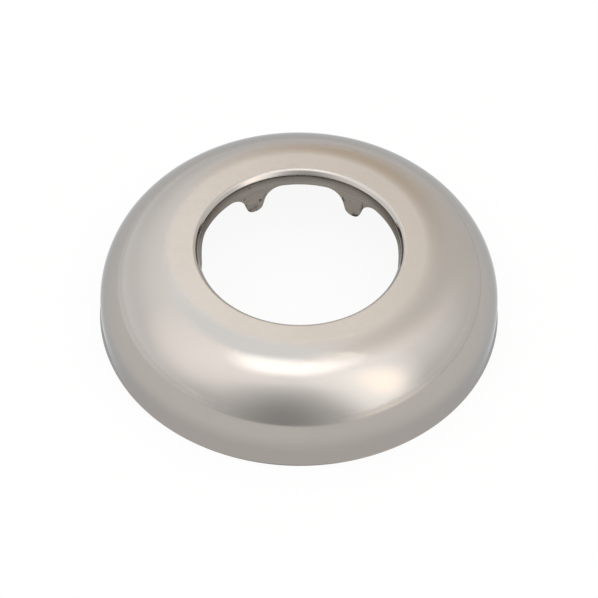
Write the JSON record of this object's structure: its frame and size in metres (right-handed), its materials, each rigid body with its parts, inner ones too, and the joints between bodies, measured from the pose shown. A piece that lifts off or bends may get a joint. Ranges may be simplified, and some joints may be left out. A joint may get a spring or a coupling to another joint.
{
  "type": "drain pipe escutcheon",
  "caption": "Round domed cover plate pressed from thin polished stainless sheet, with spring fingers round its hole, that slides over a drain pipe and hides the hole in the wall.",
  "frame": {"origin": "centre of the foot, on the wall plane", "axes": "+Z along the drain pipe, away from the wall; +X through the middle of one spring finger"},
  "size_m": [0.0794, 0.0794, 0.0191],
  "materials": {
    "polished_stainless": "polished pressed stainless sheet, slightly warm"
  },
  "bodies": {
    "root": {"escutcheon": "polished_stainless"}
  },
  "joints": []
}
